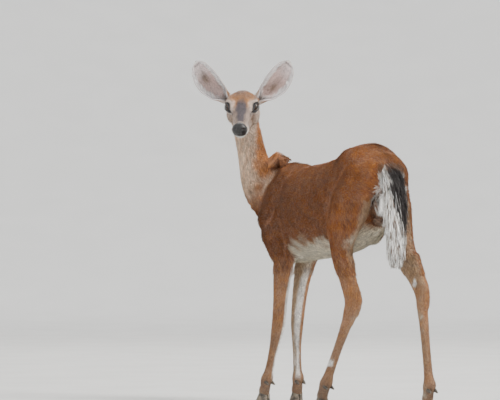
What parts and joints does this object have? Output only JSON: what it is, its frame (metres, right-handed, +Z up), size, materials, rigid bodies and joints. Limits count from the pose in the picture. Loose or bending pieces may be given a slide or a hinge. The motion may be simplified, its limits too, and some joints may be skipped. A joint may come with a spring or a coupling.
{
  "type": "white-tailed deer",
  "caption": "Still, life-size white-tailed doe in summer coat, standing mid-step with her head turned back over her flank.",
  "frame": {"origin": "centre of the bottom face of the bounding box, on the ground between the feet", "axes": "+X is the way the doe is walking, +Y is her left side, +Z is up"},
  "size_m": [0.9779, 0.4388, 1.2214],
  "materials": {
    "coat": "short reddish-brown summer hair lying flat, white below and on the inner legs",
    "neck_coat": "short pale buff hair with darker flecks",
    "ear_hair": "thin skin with pale hair inside and brown hair behind",
    "tail_hair": "long hair, brown to black above with a white fringe",
    "eye": "wet and glossy, very dark brown",
    "hoof": "dark grey-black horn, softly polished"
  },
  "bodies": {
    "root": {"ear_left": "ear_hair", "ear_right": "ear_hair", "eye_left": "eye", "eye_right": "eye", "fore_left_cannon": "coat", "fore_left_dewclaw_left": "hoof", "fore_left_dewclaw_right": "hoof", "fore_left_foot": "coat", "fore_left_hoof_left": "hoof", "fore_left_hoof_right": "hoof", "fore_left_upper": "coat", "fore_right_cannon": "coat", "fore_right_dewclaw_left": "hoof", "fore_right_dewclaw_right": "hoof", "fore_right_foot": "coat", "fore_right_hoof_left": "hoof", "fore_right_hoof_right": "hoof", "fore_right_upper": "coat", "haunch_left": "coat", "haunch_right": "coat", "head": "coat", "hind_left_cannon": "coat", "hind_left_dewclaw_left": "hoof", "hind_left_dewclaw_right": "hoof", "hind_left_foot": "coat", "hind_left_hoof_left": "hoof", "hind_left_hoof_right": "hoof", "hind_left_upper": "coat", "hind_right_cannon": "coat", "hind_right_dewclaw_left": "hoof", "hind_right_dewclaw_right": "hoof", "hind_right_foot": "coat", "hind_right_hoof_left": "hoof", "hind_right_hoof_right": "hoof", "hind_right_upper": "coat", "neck": "neck_coat", "tail": "tail_hair", "trunk": "coat"}
  },
  "joints": []
}
